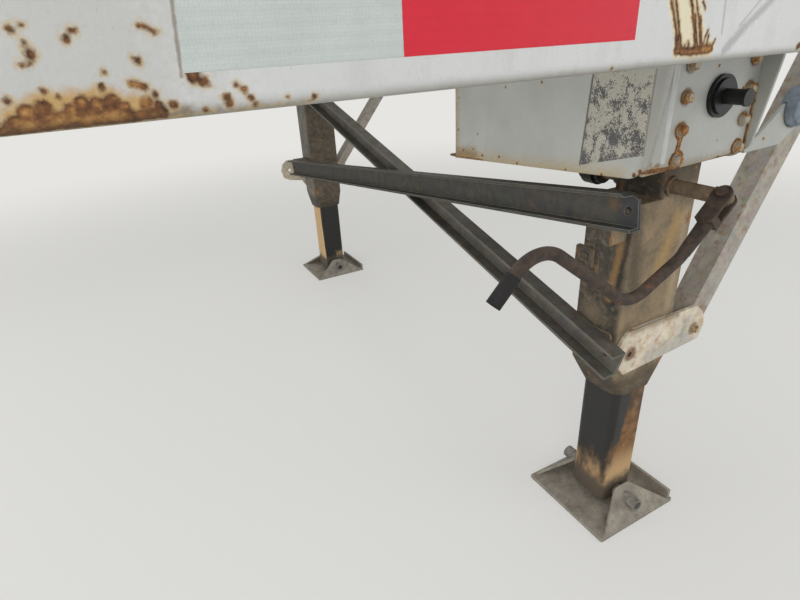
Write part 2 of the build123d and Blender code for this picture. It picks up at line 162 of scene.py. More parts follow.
def add_node(tree, kind, inputs=None, **settings):
    """Adds a node with its settings. An input is given a value, an sRGB hex colour, one of
    another node's outputs, or a node, which stands for its first output in use."""
    node = tree.nodes.new("ShaderNode" + kind)
    for name, value in settings.items():
        setattr(node, name, value)
    for key, value in (inputs or {}).items():
        if isinstance(value, bpy.types.Node):
            value = next(socket for socket in value.outputs if socket.enabled)
        if isinstance(value, bpy.types.NodeSocket):
            tree.links.new(value, node.inputs[key])
        else:
            node.inputs[key].default_value = linear(value) if isinstance(value, str) else value
    return node


def new_material(name):
    """An empty material and the function that puts a node in it."""
    material = bpy.data.materials.new(name)
    material.use_nodes = True
    material.node_tree.nodes.clear()
    return material, partial(add_node, material.node_tree)


def open_finish(name):
    """A new material as above, and the places on the object that its patterns read."""
    material, put = new_material(name)
    return material, put, put("TexCoord").outputs["Object"]


def close_finish(material, put, inputs, relief=None):
    """Adds the shader with its inputs, a bump where there is relief, and the output."""
    if relief:
        inputs = {**inputs, "Normal": put("Bump", relief)}
    put("OutputMaterial", {"Surface": put("BsdfPrincipled", inputs)})
    return material


def only(*objects):
    """In object mode, selects just these objects, the first one active."""
    if bpy.context.object and bpy.context.object.mode != "OBJECT":
        bpy.ops.object.mode_set(mode="OBJECT")
    bpy.ops.object.select_all(action="DESELECT")
    for obj in reversed(objects):
        obj.select_set(True)
        bpy.context.view_layer.objects.active = obj


def begin(add_primitive, **settings):
    """Adds a primitive at its size and place, puts that in its mesh and opens it for
    editing, with all of it selected."""
    only()
    add_primitive(**settings)
    bpy.ops.object.transform_apply(location=True, rotation=True, scale=True)
    bpy.ops.object.mode_set(mode="EDIT")
    return bpy.context.object


def extrude(x=0.0, y=0.0):
    """Extrudes the selected faces along X or Y."""
    bpy.ops.mesh.extrude_region_move(TRANSFORM_OT_translate={"value": (x, y, 0)})


def bevel_all(width, segments):
    """Bevels every edge of the mesh that is open for editing."""
    bpy.ops.mesh.select_all(action="SELECT")
    bpy.ops.mesh.bevel(offset=width, segments=segments)


def settle(obj, name, body, material):
    """Puts the object's place in its mesh, names it and gives it its finish and body."""
    only(obj)
    bpy.ops.object.transform_apply(location=True, rotation=True, scale=True)
    bpy.ops.object.shade_smooth_by_angle(angle=SMOOTH_ANGLE)
    obj.name = name
    obj.data.name = name
    obj.data.materials.clear()
    obj.data.materials.append(material)
    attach(obj, body)


def join(objects):
    """Makes one object of them; a single one stays as it is."""
    only(*objects)
    if len(objects) > 1:
        bpy.ops.object.join()
    return bpy.context.object


def select_faces(obj, test):
    """In edit mode, selects the faces whose normal passes the test."""
    bpy.ops.mesh.select_mode(type="FACE")
    bpy.ops.mesh.select_all(action="DESELECT")
    mesh = bmesh.from_edit_mesh(obj.data)
    for face in mesh.faces:
        face.select_set(bool(test(face.normal)))
    bmesh.update_edit_mesh(obj.data)


def marks(put, place, spots, lines):
    """Distance from the nearest mark, less than nothing inside it: round spots (centre,
    radius) and lines (start, end, half width), in metres."""
    nearest = None

    def nearer(far, radius):
        """Joins each distance to the rest at once: with all of them held for the end, the
        renderer runs out of room and paints the surface black."""
        gap = put("Math", {0: far, 1: radius}, operation="SUBTRACT")
        if nearest is None:
            return gap
        return put("Math", {0: nearest, 1: gap, 2: 0.004}, operation="SMOOTH_MIN")

    for centre, radius in spots:
        far = put("VectorMath", {0: place, 1: centre}, operation="DISTANCE")
        nearest = nearer(far, radius)
    for start, end, radius in lines:
        run = Vector(end) - Vector(start)
        reach = put("VectorMath", {0: place, 1: start}, operation="SUBTRACT")
        share = put("VectorMath", {0: reach, 1: tuple(run / run.length_squared)},
                    operation="DOT_PRODUCT")
        share = put("Math", {0: share, 1: 0.0}, operation="ADD", use_clamp=True)
        foot = put("VectorMath", {0: tuple(run), "Scale": share}, operation="SCALE")
        far = put("VectorMath", {0: reach, 1: foot}, operation="DISTANCE")
        nearest = nearer(far, radius)
    return nearest


def wash(put, coords, colour, washes):
    """Lays dirt, stains and scrapes over a colour: each has its lines, its hex colour, the
    metres in which it fades and its strength."""
    ragged = put("TexNoise", {"Vector": coords, "Scale": 1 / 0.007, "Detail": 5.0, "Roughness": 0.65})
    for lines, hex_colour, fade, strength in washes:
        gap = marks(put, coords, (), lines)
        gap = put("Math", {0: ragged, 1: fade * 1.4, 2: gap}, operation="MULTIPLY_ADD")
        mask = put("MapRange", {"Value": gap, "From Min": fade * 1.6,
                                "From Max": fade * 0.4, "To Max": strength},
                   interpolation_type="SMOOTHSTEP")
        colour = put("Mix", {0: mask, 6: colour, 7: hex_colour}, data_type="RGBA")
    return colour


def patches(put, coords, size, grain, levels, under, over, most=1.0):
    """Lays patches of one colour over another, and gives the new colour, the noise and the
    mask. The size is in metres, grain is the noise's detail and roughness, and levels are
    the noise at which a patch starts and is full."""
    noise = put("TexNoise", {"Vector": coords, "Scale": 1 / size, "Detail": grain[0],
                             "Roughness": grain[1]})
    mask = put("MapRange", {"Value": noise, "From Min": levels[0],
                            "From Max": levels[1], "To Max": most})
    colour = put("Mix", {0: mask, 6: under, 7: over}, data_type="RGBA")
    return colour, noise, mask


def wear_and_highlight_edges(put, radius, levels, most):
    """Finds cut and rounded edges where a bevel's normal leaves the face's own, and gives the
    bevel's normal and the edge's strength, which marks rust and wear on edges, and a painted highlight
    on zinc."""
    rounded = put("Bevel", {"Radius": radius}, samples=4)
    plain = put("NewGeometry").outputs["Normal"]
    bend = put("VectorMath", {0: rounded, 1: plain}, operation="DOT_PRODUCT")
    edge = put("MapRange", {"Value": bend, "From Min": levels[0], "From Max": levels[1], "To Max": most})
    return rounded, edge


def set_steps(ramp, *steps):
    """Gives a colour ramp its steps; the first two are its lowest and its highest."""
    elements = ramp.color_ramp.elements
    for element, (place, colour) in zip(list(elements), steps):
        element.position = place
        element.color = linear(colour)
    for place, colour in steps[2:]:
        elements.new(place).color = linear(colour)


def rust_colour(put, coords, colours, darken=None):
    """Colour and grain of rust: ochre and tan scale, brown patches about 8 mm across and
    dark pits."""
    grain = put("TexNoise", {"Vector": coords, "Scale": 1 / 0.008, "Detail": 7.0, "Roughness": 0.68})
    depth = grain
    if darken is not None:
        depth = put("Math", {0: grain, 1: darken}, operation="ADD")
    ramp = put("ValToRGB", {"Fac": depth})
    set_steps(ramp, (0.30, colours.rust_pale), (0.80, colours.rust_dark), (0.45, "#a87a45"),
              (0.60, colours.rust))
    return ramp, grain


def enamel(name, colours, spots=(), lines=(), washes=(), low_edge=None, rust_level=0.72,
           edge_rust=0.12, tint="#c6c8c6", pale=None):
    """White alkyd enamel on steel: semi-gloss gone chalky, dirty in faint streaks, with rust
    in the named spots and lines, each with a yellow stain round it, and a little rust in
    random places and along cut edges."""
    material, put, coords = open_finish(name)
    # chalky cloudiness, about 90 mm across
    cloud = put("TexNoise", {"Vector": coords, "Scale": 1 / 0.09, "Detail": 5.0, "Roughness": 0.6})
    dirty = put("Mix", {0: cloud, 6: pale or colours.enamel, 7: tint}, data_type="RGBA")
    # dirt that has run down, faint and uneven, about 30 mm wide and 90 mm long
    run = put("Mapping", {"Vector": coords, "Scale": (1 / 0.03, 1 / 0.03, 1 / 0.09)})
    dirty, streak, _ = patches(put, run, 1.0, (8.0, 0.68), (0.48, 0.8), dirty, colours.enamel_grime, 0.3)
    # fine specks of dirt, 2 mm across
    dirty, speck, _ = patches(put, coords, 0.004, (3.0, 0.6), (0.62, 0.8), dirty, "#8d8a80", 0.35)

    rounded, edge = wear_and_highlight_edges(put, 0.003, (0.999, 0.86), edge_rust)
    scatter = put("TexNoise", {"Vector": coords, "Scale": 1 / 0.03, "Detail": 8.0, "Roughness": 0.6})
    want = put("Math", {0: scatter, 1: edge}, operation="ADD")
    rusted = put("MapRange", {"Value": want, "From Min": rust_level, "From Max": rust_level + 0.02})
    stained = put("MapRange", {"Value": want, "From Min": rust_level - 0.06,
                               "From Max": rust_level + 0.01, "To Max": 0.7})
    darken = None
    if spots or lines:
        # the marks' outlines wander by about 3 mm
        wobble = put("TexNoise",
                     {"Vector": coords, "Scale": 1 / 0.009, "Detail": 4.0, "Roughness": 0.65})
        shift = put("VectorMath", {0: wobble.outputs["Color"], 1: (0.5, 0.5, 0.5)}, operation="SUBTRACT")
        moved = put("VectorMath", {0: shift, 1: (0.007, 0.007, 0.007), 2: coords},
                    operation="MULTIPLY_ADD")
        gap = marks(put, moved, spots, lines)
        core = put("MapRange", {"Value": gap, "From Min": 0.0011, "From Max": -0.0013})
        frayed = put("Math", {0: speck, 1: 0.008, 2: gap}, operation="MULTIPLY_ADD")
        halo = put("MapRange", {"Value": frayed, "From Min": 0.0076, "From Max": 0.0034, "To Max": 0.6},
                   interpolation_type="SMOOTHSTEP")
        rusted = put("Math", {0: rusted, 1: core}, operation="MAXIMUM")
        stained = put("Math", {0: stained, 1: halo}, operation="MAXIMUM")
        # small marks and rims are the darkest, wide patches are tan inside
        darken = put("MapRange", {"Value": gap, "From Min": -0.006,
                                  "From Max": -0.001, "To Min": -0.03, "To Max": 0.20})
    if washes:
        dirty = wash(put, coords, dirty, washes)
    rust, grain = rust_colour(put, coords, colours, darken)
    if low_edge is not None:
        # road dirt and painted shade along the rounded lower edge, thinning out over the lowest 12 mm,
        # over the rust too
        place = put("SeparateXYZ", {"Vector": coords})
        low = put("Math", {0: streak, 1: 0.010, 2: place.outputs["Z"]}, operation="MULTIPLY_ADD")
        low = put("MapRange", {"Value": low, "From Min": low_edge + 0.018,
                               "From Max": low_edge + 0.003, "To Max": 0.7},
                  interpolation_type="SMOOTHSTEP")
        dirty = put("Mix", {0: low, 6: dirty, 7: "#7f7869"}, data_type="RGBA")
        rust = put("Mix", {0: low, 6: rust, 7: "#4f3d2b"}, data_type="RGBA")

    halo_colour = put("Mix", {0: speck, 6: "#c9b683", 7: colours.rust_halo}, data_type="RGBA")
    with_halo = put("Mix", {0: stained, 6: dirty, 7: halo_colour}, data_type="RGBA")
    colour = put("Mix", {0: rusted, 6: with_halo, 7: rust}, data_type="RGBA")
    rough = put("MapRange", {"Value": rusted, "To Min": 0.42, "To Max": 0.9})
    relief = put("Mix", {0: rusted, 2: speck, 3: grain})
    return close_finish(
        material, put, {"Base Color": colour, "Roughness": rough, "Metallic": 0.0, "IOR": 1.5},
        {"Height": relief, "Strength": 0.22, "Distance": 0.002, "Normal": rounded})


def galvanised(name, colours, dark, pale, rust_share=0.3, speckle="#8b6a45", washes=(),
               edge_highlight_colour="#bdbab0"):
    """Hot-dip galvanised steel gone dull: cloudy grey with faint spangle about 14 mm across,
    brown speckles and stains, and cut edges painted pale as a painted highlight."""
    material, put, coords = open_finish(name)
    spangle = put("TexVoronoi", {"Vector": coords, "Scale": 1 / 0.014})
    grey, bloom, _ = patches(put, coords, 0.03, (9.0, 0.72), (0.32, 0.68), dark, pale)
    flake = put("Mix", {0: 0.10, 6: grey, 7: spangle.outputs["Color"]},
                data_type="RGBA", blend_type="SOFT_LIGHT")
    brown, stain, _ = patches(
        put, coords, 0.022, (9.0, 0.72),
        (0.62 - rust_share * 0.2, 0.78 - rust_share * 0.1), flake, speckle, 0.9)
    brown = wash(put, coords, brown, washes)
    rounded, edge = wear_and_highlight_edges(put, 0.0018, (0.998, 0.88), 0.8)
    # cut edges painted pale: a painted highlight
    painted_edge_highlight = put("Mix", {0: edge, 6: brown, 7: edge_highlight_colour}, data_type="RGBA")
    rough = put("MapRange", {"Value": bloom, "To Min": 0.48, "To Max": 0.78})
    return close_finish(
        material, put, {"Base Color": painted_edge_highlight, "Roughness": rough, "Metallic": 0.3},
        {"Height": stain, "Strength": 0.3, "Distance": 0.0015, "Normal": rounded})


def old_steel(name, colours, pale, dark, crust=None, scale=0.05, rust_share=0.5,
              forward=None, washes=(), rust_shift=0.06, worn_edge=None):
    """Painted or bare steel that has weathered: thin paint over rust in patches, pale crust
    of dried mud, and rust in streaks that run down. Faces that look forward can have a
    colour of their own, painted shade with road dirt on the near leg and painted light on
    the far one."""
    material, put, coords = open_finish(name)
    colour, patch, cloudy = patches(put, coords, scale, (9.0, 0.68), (0.34, 0.66), dark, pale)
    if forward is not None:
        plain = put("NewGeometry")
        facing = put("SeparateXYZ", {"Vector": plain.outputs["Normal"]})
        facing = put("MapRange", {"Value": facing.outputs["X"], "From Min": -0.2, "From Max": -0.95})
        front_grime_and_painted_light = put("Mix", {0: cloudy, 6: forward[0], 7: forward[1]}, data_type="RGBA")
        colour = put("Mix", {0: facing, 6: colour, 7: front_grime_and_painted_light}, data_type="RGBA")
    if crust is not None:
        colour, _, _ = patches(put, coords, 0.02, (10.0, 0.75), (0.48, 0.72), colour, crust, 0.45)
    colour = wash(put, coords, colour, washes)
    run = put("Mapping", {"Vector": coords, "Scale": (1 / 0.022, 1 / 0.022, 1 / 0.07),
                          "Location": (3.1, 1.7, 0.4)})
    streak = put("TexNoise", {"Vector": run, "Scale": 1.0, "Detail": 6.0, "Roughness": 0.6})
    rounded, edge = wear_and_highlight_edges(put, 0.004, (0.999, 0.86), 0.12)
    spread = put("Math", {0: streak, 1: patch}, operation="ADD")
    spread = put("Math", {0: spread, 1: edge}, operation="ADD")
    mask = put("MapRange", {"Value": spread, "From Min": 1.24 - rust_share * 0.34,
                            "From Max": 1.32 - rust_share * 0.24})
    rust, grain = rust_colour(put, coords, colours, rust_shift)
    if worn_edge is not None:
        rubbed = put("Math", {0: edge, 1: 6.0}, operation="MULTIPLY", use_clamp=True)
        colour = put("Mix", {0: rubbed, 6: colour, 7: worn_edge}, data_type="RGBA")
    rusty = put("Mix", {0: mask, 6: colour, 7: rust}, data_type="RGBA")
    return close_finish(
        material, put, {"Base Color": rusty, "Roughness": 0.74, "Metallic": 0.1},
        {"Height": grain, "Strength": 0.35, "Distance": 0.0015, "Normal": rounded})


def greased_tube(name, colours, front_grease, side_grease_and_shade, golden_top):
    """Lower leg: black grease high up, bare tube with golden-brown rust towards the foot.
    Two shares say how much grease the front and the forward half of the sides hold, and
    golden_top is the height in millimetres at which the bright band ends. On the far leg
    the black sides are partly painted shade, and the bare golden front and high bright band
    are partly painted sunlight."""
    material, put, coords = open_finish(name)
    place = put("SeparateXYZ", {"Vector": coords})
    run = put("Mapping", {"Vector": coords, "Scale": (1 / 0.03, 1 / 0.03, 1 / 0.07)})
    drips = put("TexNoise", {"Vector": run, "Scale": 1.0, "Detail": 7.0, "Roughness": 0.62})
    level = put("MapRange",
                {"Value": place.outputs["Z"], "From Min": height(70),
                 "From Max": height(300), "To Min": -0.12, "To Max": 0.7})
    # grease stays on the front and the forward half; the rear half is rubbed to rust. On the far leg
    # this grease stands partly for painted shade.
    forward = put("MapRange",
                  {"Value": place.outputs["X"], "From Min": 0.014, "From Max": -0.042,
                   "To Min": side_grease_and_shade - 0.52, "To Max": side_grease_and_shade}, interpolation_type="SMOOTHSTEP")
    front = put("MapRange", {"Value": place.outputs["X"], "From Min": -0.044,
                             "From Max": -0.0515, "To Max": front_grease})
    want = put("Math", {0: level, 1: drips}, operation="ADD")
    for part in (forward, front):
        want = put("Math", {0: want, 1: part}, operation="ADD")
    grease_and_painted_shade = put("MapRange", {"Value": want, "From Min": 0.58, "From Max": 1.02},
                 interpolation_type="SMOOTHSTEP")
    patch = put("TexNoise", {"Vector": coords, "Scale": 1 / 0.03, "Detail": 8.0, "Roughness": 0.66})
    ramp = put("ValToRGB", {"Fac": patch})
    set_steps(ramp, (0.3, "#5b4029"), (0.72, "#ab8455"), (0.5, "#86603a"))
    # bright golden band low down, then dust over the lowest 40 mm
    band = put("Math", {0: patch, 1: 0.05, 2: place.outputs["Z"]}, operation="MULTIPLY_ADD")
    golden = put("MapRange",
                 {"Value": band, "From Min": height(golden_top),
                  "From Max": height(golden_top - 90), "To Max": 0.75}, interpolation_type="SMOOTHSTEP")
    golden = put("Math", {0: golden, 1: front}, operation="SUBTRACT", use_clamp=True)
    dust = put("MapRange", {"Value": band, "From Min": height(128),
                            "From Max": height(92), "To Max": 0.95}, interpolation_type="SMOOTHSTEP")
    colour = put("Mix", {0: golden, 6: ramp, 7: "#dcb988"}, data_type="RGBA")
    colour = put("Mix", {0: grease_and_painted_shade, 6: colour, 7: colours.grease}, data_type="RGBA")
    colour = put("Mix", {0: dust, 6: colour, 7: "#5c5248"}, data_type="RGBA")
    rough = put("MapRange", {"Value": grease_and_painted_shade, "To Min": 0.66, "To Max": 0.36})
    rounded = put("Bevel", {"Radius": 0.003}, samples=4)
    return close_finish(
        material, put, {"Base Color": colour, "Roughness": rough, "Metallic": 0.2},
        {"Height": patch, "Strength": 0.3, "Distance": 0.0015, "Normal": rounded})


def reflective_film(name, hex_colour, net_depth):
    """Retroreflective film: acrylic over rows of prisms, seen as faint level rows and a fine
    net of cells about 3 mm across."""
    material, put, coords = open_finish(name)
    cells = put("TexVoronoi", {"Vector": coords, "Scale": 1 / 0.0028, "Randomness": 0.35},
                feature="DISTANCE_TO_EDGE")
    net = put("MapRange", {"Value": cells, "From Max": 0.14, "To Min": 1 - net_depth, "To Max": 1.0})
    rows = put("TexWave", {"Vector": coords, "Scale": 1 / 0.030, "Distortion": 0.4,
                           "Detail": 1.0}, bands_direction="Z")
    row_tone = put("MapRange", {"Value": rows.outputs["Fac"],
                                "To Min": 1.0 - net_depth * 0.4, "To Max": 1.0})
    dust = put("TexNoise", {"Vector": coords, "Scale": 1 / 0.025, "Detail": 8.0, "Roughness": 0.65})
    dusty = put("MapRange", {"Value": dust, "To Min": 0.88, "To Max": 1.08})
    tone = net
    for part in (dusty, row_tone):
        tone = put("Math", {0: tone, 1: part}, operation="MULTIPLY")
    colour = put("Mix", {0: 1.0, 6: hex_colour, 7: tone}, data_type="RGBA", blend_type="MULTIPLY")
    return close_finish(
        material, put, {"Base Color": colour, "Roughness": 0.5, "Specular IOR Level": 0.25},
        {"Height": cells, "Strength": 0.08, "Distance": 0.0005})


def worn_label(name):
    """Printed vinyl label that has weathered away: pale film, flaked dark ink, no lettering."""
    material, put, coords = open_finish(name)
    flakes = put("TexNoise", {"Vector": coords, "Scale": 1 / 0.0024, "Detail": 5.0, "Roughness": 0.7})
    wear = put("TexNoise", {"Vector": coords, "Scale": 1 / 0.020, "Detail": 6.0, "Roughness": 0.6})
    place = put("SeparateXYZ", {"Vector": coords})
    # more ink is left on the lower half
    lower = put("MapRange", {"Value": place.outputs["Z"], "From Min": height(1050),
                             "From Max": height(900), "To Min": -0.04, "To Max": 0.05})
    spread = put("Math", {0: flakes, 1: wear}, operation="ADD")
    spread = put("Math", {0: spread, 1: lower}, operation="ADD")
    ink = put("MapRange", {"Value": spread, "From Min": 1.0, "From Max": 1.05, "To Max": 0.9})
    film = put("Mix", {0: wear, 6: "#a8a497", 7: "#c6c1b2"}, data_type="RGBA")
    colour = put("Mix", {0: ink, 6: film, 7: "#3d3c41"}, data_type="RGBA")
    return close_finish(material, put, {"Base Color": colour, "Roughness": 0.6})


def black_rubbered(name):
    """Black paint and rubber of the stub and the coupling: satin, dusty."""
    material, put, coords = open_finish(name)
    colour, _, _ = patches(put, coords, 0.02, (7.0, 0.5), (0.45, 0.9), "#08090a", "#4b4843", 0.2)
    return close_finish(material, put, {"Base Color": colour, "Roughness": 0.5})


def side_face(node, out):
    """Y of a node's face that looks to the near side (out is -1) or to the far side (1)."""
    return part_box(node)[0 if out < 0 else 1][1]


def upright(x=None, y=None):
    """A function that gives places on an upright face, whose X or Y is given, from the
    millimetres along it and above the ground."""

    def place(along, above):
        if x is None:
            return (along / 1000, y, height(above))
        return (x, along / 1000, height(above))

    return place


def dots(face, spots):
    """Round spots on a face: centre and radius, in millimetres."""
    return [(face(a, h), radius / 1000) for a, h, radius in spots]


def strokes(face, lines):
    """Lines on a face: both ends and half the width, in millimetres."""
    return [(face(a, h), face(b, k), width / 1000) for a, h, b, k, width in lines]


def washed(face, *washes):
    """Washes on a face: hex colour, metres of fade, strength, then lines as above."""
    return [(strokes(face, lines), colour, fade, strength) for colour, fade, strength, *lines in washes]


def rail_marks():
    """Rust spots, rust lines, and washes of dirt and scrapes of the near rail's face."""
    face = upright(y=RAIL_FACE)
    spots = dots(face, (
        (-970, 1136, 2.3), (-964, 1139, 1.7), (-966, 1128, 1.8), (-964, 1122, 3.5),
        (-970, 1117, 1.7), (-966, 1117, 1.7), (-984, 1097, 2.5), (-963, 1101, 2.5),
        (-956, 1096, 2.3), (-937, 1134, 2.7), (-942, 1130, 2.8), (-930, 1100, 2.8),
        (-926, 1109, 1.7), (-904, 1115, 2.7), (-898, 1093, 2.5), (-887, 1085, 3.1),
        (-860, 1096, 1.3), (-850, 1087, 3.3), (-849, 1082, 3.1), (-841, 1094, 2.2),
        (-836, 1091, 2.7), (-832, 1085, 2.9), (-829, 1079, 2.7), (-803, 1083, 1.3),
        (-782, 1081, 2.5), (-786, 1076, 2.3), (-866, 1079, 2.3), (-448, 1078, 2.1),
        (-870, 1103, 4.9), (-864, 1099, 3.9), (-104, 1083, 4.3), (-98, 1087, 3.3),
        # knobs of the heavy patches along the lower edge
        (-976, 1089, 5.7), (-966, 1091, 5.2), (-951, 1088, 4.7), (-943, 1092, 5.2),
        (-934, 1089, 5.7), (-926, 1091, 5.2), (-919, 1086, 4.7), (-905, 1088, 4.5),
        (-897, 1086, 3.7),
        # in front of and behind the stretch that the photograph shows best
        (-1012, 1085, 6.2), (-1036, 1081, 5.7), (-1060, 1087, 7.2), (-1086, 1082, 5.7),
        (-1112, 1088, 6.7), (-1136, 1083, 6.7), (-1032, 1119, 2.3), (-1078, 1136, 1.9),
        (-1101, 1112, 2.7), (-1120, 1160, 2.1), (-1010, 1190, 2.3), (-905, 1228, 1.9),
        (330, 1086, 3.2), (352, 1081, 2.3), (520, 1096, 2.1), (604, 1083, 4.7),
    ))
    lines = strokes(face, (
        (-897, 1136, -889, 1132, 1.9), (-911, 1101, -904, 1098, 2.8),
        (-1150, 1077, -986, 1078, 4.5), (-984, 1081, -922, 1082, 7.0),
        (-922, 1079, -896, 1080, 5.0), (-896, 1075, -786, 1074, 2.2),
        # rust that has run down in slanted streaks behind the red tape
        (-386, 1172, -352, 1104, 2.2), (-352, 1104, -347, 1091, 3.6),
        (-368, 1152, -341, 1091, 2.2), (-357, 1172, -329, 1124, 2.4),
        (-346, 1172, -318, 1118, 1.8), (-329, 1124, -316, 1092, 3.4),
        (-318, 1122, -309, 1097, 3.0), (-317, 1139, -312, 1132, 1.8),
        (-350, 1090, -322, 1089, 4.4), (-322, 1089, -290, 1090, 5.2),
        (-289, 1090, -284, 1099, 1.7), (-298, 1091, -297, 1104, 1.9),
        (-305, 1095, -300, 1110, 1.4), (-328, 1090, -331, 1099, 1.7),
        (-337, 1090, -336, 1097, 1.6),
    ))
    # painted shade darkening the front end, cream stains between the streaks, and scrapes
    washes = washed(
        face,
        ("#a9a79f", 0.100, 0.40, (-1150, 1130, -960, 1130, 70)),
        ("#e6dab4", 0.007, 0.85, (-384, 1172, -340, 1092, 7), (-368, 1172, -324, 1092, 9),
         (-352, 1172, -306, 1092, 8), (-345, 1092, -292, 1090, 8)),
        ("#a3a4a3", 0.006, 0.8, (-176, 1145, -234, 1108, 2.6), (-234, 1108, -262, 1087, 3.4)),
        ("#a7a8a6", 0.002, 0.7, (-280, 1160, -273, 1105, 1.1), (-196, 1150, -242, 1112, 0.8),
         (-700, 1200, -655, 1188, 1.2), (120, 1150, 210, 1141, 1.4)),
        ("#83796a", 0.0016, 0.75, (-878, 1103, -873.4, 1157, 0.7)),
        ("#7d6547", 0.008, 0.85, (-1150, 1078, -880, 1077, 4), (-880, 1075, -790, 1074, 1)),
        ("#bd9048", 0.008, 0.9, (-968, 1092, -925, 1092, 5), (-985, 1086, -905, 1086, 5)),
    )
    return spots, lines, washes


def box_marks():
    """Rust spots, rust lines and washes of the near box, on its front and on the bolt plate
    with the gusset beside it."""
    front, plate = upright(x=NEAR_BOX[0][0]), upright(y=NEAR_PLATE[0][1])
    spots = dots(front, (
        (-520, 858, 4.0), (-579, 904, 2.4), (-598, 856, 3.6), (-662, 862, 3.4),
        (-725, 858, 2.8), (-560, 866, 2.6), (-787, 1026, 2.4), (-677, 1012, 2.2),
        (-640, 1020, 2.0), (-1041, 893, 4.5), (-1030, 886, 4.0), (-960, 874, 3.0),
        (-497, 905, 3.0), (-870, 868, 2.2), (-500, 980, 2.4),
    )) + dots(plate, (
        (-62, 900, 19.0), (-62, 951, 15.0), (-40, 880, 6.0), (110, 902, 16.0),
        (108, 953, 11.0), (46, 922, 1.8), (196, 907, 3.4), (176, 922, 3.0),
        (92, 1006, 4.0), (60, 890, 2.6), (-130, 905, 4.0), (10, 1050, 2.4),
        (250, 940, 2.6), (330, 985, 3.4), (420, 1046, 4.0),
    ))
    lines = strokes(plate, (
        (-143, 892, -70, 888, 4.0), (-66, 902, -58, 950, 6.0), (131, 1010, 131, 905, 3.4),
        (118, 896, 150, 900, 3.0), (-20, 884, 120, 892, 1.6),
    )) + strokes(front, ((-484, 838, -600, 846, 1.6),))
    washes = washed(
        front,
        ("#b09a70", 0.034, 0.8, (-484, 836, -1000, 875, 4)),
        ("#a48a5f", 0.030, 0.8, (-484, 840, -484, 1010, 4)),
        ("#8f7146", 0.030, 0.85, (-484, 838, -560, 846, 12)),
        # painted shade under the rail: darker at the top of the front, most at its inboard end
        ("#6f6350", 0.060, 0.6, (-484, 1160, -560, 1160, 20)),
        ("#7d6c55", 0.024, 0.6, (-484, 1150, -1078, 1150, 6)),
        ("#4a4843", 0.0022, 0.9, (-917, 1046, -906, 884, 1.6)),
        ("#5c5a54", 0.0016, 0.7, (-1045, 1055, -1043, 921, 1)),
        # greyer band by the outboard corner: painted shade on the bend
        ("#8c897f", 0.014, 0.5, (-1055, 1060, -1050, 900, 8)),
    ) + washed(
        plate,
        ("#8c7758", 0.016, 0.6, (-144, 888, 132, 888, 4)),
        ("#7a5b3c", 0.010, 0.8, (147, 982, 147, 913, 4)),
        ("#7a5b3c", 0.008, 0.8, (-108, 896, -124, 891, 4)),
        # a dark ring shows round every bolt; round the tube's end a near-black ring of painted shade
        ("#5d4733", 0.006, 0.85,
         *((x, h, x + 1, h, 12.5) for x in BOLT_COLUMNS for h in NEAR_BOLT_ROWS)),
        ("#26292c", 0.004, 0.95, (*TUBE_END, TUBE_END[0] + 1, TUBE_END[1], 40)),
    )
    return spots, lines, washes


def channel_finish(colours):
    """Zinc of the level channel, its dark colour painted shade, with painted shade and rust stains at
    its near end.
    """
    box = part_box("cross_brace_channel")
    web, flange_tips = upright(x=box[1][0]), upright(x=box[0][0])
    washes = washed(
        web,
        # near-black blue-grey at the near end under the box: painted shade
        ("#33363b", 0.026, 0.75, (-1046, 806, -1046, 836, 24)),
        ("#6e5638", 0.010, 0.6, (-996, 820, -988, 838, 6)),
    ) + washed(flange_tips, ("#8a6a48", 0.006, 0.7, (-961, 810, -955, 806, 3)))
    return galvanised("zinc_in_painted_shade", colours, "#373632", "#56544d", 0.45, "#66523b",
                      edge_highlight_colour="#a5a196", washes=washes)


def bracket_finish(colours):
    """Stained zinc of the brace brackets, pale partly as painted sunlight, brown round the holes of the
    near one.
    """
    washes = washed(
        upright(y=side_face("near_brace_bracket", -1)),
        ("#a9acac", 0.030, 0.5, (20, 446, 150, 448, 12)),
        ("#6b4526", 0.010, 0.85, (-52, 476, -48, 478, 12)),
        ("#949a9e", 0.026, 0.5, (120, 470, 128, 505, 4)),
        ("#8a6238", 0.008, 0.7, (160, 474, 160, 477, 12)),
        ("#7c5f3e", 0.012, 0.6, (-50, 534, 90, 532, 3)),
    )
    return galvanised("stained_zinc_with_painted_sunlight", colours, "#cbbda3", "#efe6d5", 0.6, "#b5844d", washes=washes)


